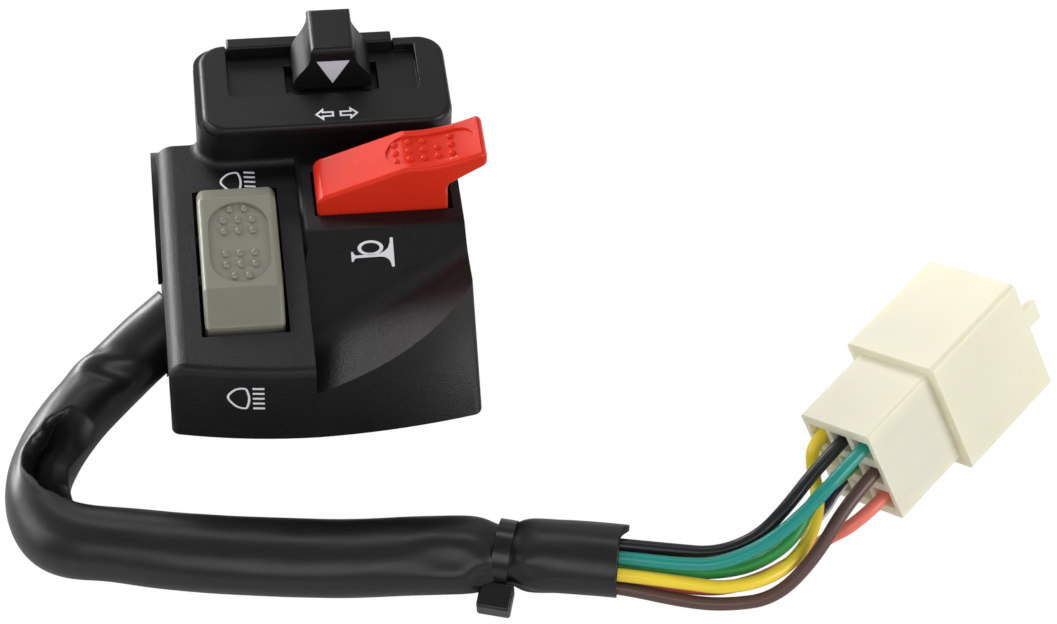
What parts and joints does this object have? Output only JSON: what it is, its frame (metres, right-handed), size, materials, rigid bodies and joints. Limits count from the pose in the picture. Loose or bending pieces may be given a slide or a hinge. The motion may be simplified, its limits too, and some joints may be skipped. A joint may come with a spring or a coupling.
{
  "type": "motorcycle handlebar switch cluster",
  "caption": "Left handlebar switch housing with a sliding turn-signal knob, a beam rocker and a horn lever, clamped round the bar, with a short sleeved harness ending in a multi-pin connector.",
  "frame": {"origin": "centre of the handlebar bore, midway along the housing", "axes": "+X along the bar, to the rider's right; +Y away from the rider's thumb; +Z out of the face that carries the controls. It rests on the flat back of its rear half, whose normal is -Z"},
  "size_m": [0.1735, 0.1014, 0.0465],
  "materials": {
    "housing_black": "fine moulded grain, satin",
    "cover_black": "smooth satin",
    "rocker_grey": "satin",
    "horn_red": "semi-gloss",
    "inner_plastic": "glass-filled nylon",
    "board": "laminate",
    "steel": "zinc plated",
    "dark_steel": "black oxide",
    "contact_brass": "bare brass",
    "rubber_black": "soft rubber",
    "sleeve_black": "soft PVC sleeve, satin",
    "nylon_black": "satin nylon",
    "connector_ivory": "translucent natural nylon",
    "wire_black": "PVC insulation",
    "wire_teal": "PVC insulation",
    "wire_yellow": "PVC insulation",
    "wire_brown": "PVC insulation",
    "wire_green": "PVC insulation",
    "wire_red": "PVC insulation",
    "wire_blue": "PVC insulation, white stripe"
  },
  "bodies": {
    "root": {"base_plate": "housing_black", "base_plate_screws": "steel", "cable_grommet": "rubber_black", "cable_sleeve": "sleeve_black", "clamp_screws": "steel", "connector_housing": "connector_ivory", "connector_terminals": "contact_brass", "front_housing": "housing_black", "horn_contact_base": "inner_plastic", "horn_contact_leaf": "contact_brass", "horn_pivot_pin": "dark_steel", "horn_return_spring": "steel", "indicator_contact_board": "board", "indicator_contacts": "contact_brass", "indicator_detent_plate": "steel", "indicator_lead": "board", "indicator_plate": "cover_black", "indicator_slide_strip": "cover_black", "inner_wires": "wire_black", "rear_housing": "housing_black", "rocker_contact_base": "inner_plastic", "rocker_contacts": "contact_brass", "rocker_pivot_pin": "dark_steel", "wire_black": "wire_black", "wire_blue": "wire_blue", "wire_brown": "wire_brown", "wire_green": "wire_green", "wire_red": "wire_red", "wire_teal": "wire_teal", "wire_yellow": "wire_yellow", "zip_tie": "nylon_black"},
    "indicator_slider": {"indicator_knob": "cover_black", "indicator_carriage": "cover_black", "indicator_detent_ball": "steel", "indicator_detent_spring": "steel", "indicator_wiper": "contact_brass"},
    "beam_rocker": {"beam_rocker": "rocker_grey", "rocker_moving_contact": "contact_brass", "rocker_detent_ball": "steel", "rocker_detent_spring": "steel"},
    "horn_lever": {"horn_lever": "horn_red", "horn_contact_pin": "contact_brass"}
  },
  "joints": [
    {"name": "indicator_slide", "type": "slide", "parent": "root", "child": "indicator_slider", "axis": [1, 0, 0], "range_m": [-0.005, 0.005]},
    {"name": "beam_rocker_tilt", "type": "hinge", "parent": "root", "child": "beam_rocker", "pos_m": [-0.0124, -0.0244, 0.011], "axis": [1, 0, 0], "range_deg": [-12, 0]},
    {"name": "horn_press", "type": "hinge", "parent": "root", "child": "horn_lever", "pos_m": [0.004, -0.0118, 0.015], "axis": [0, 1, 0], "range_deg": [0, 6], "stiffness_Nm_per_rad": 0.35, "springref_deg": -8.59, "deforming": ["horn_return_spring"]}
  ]
}
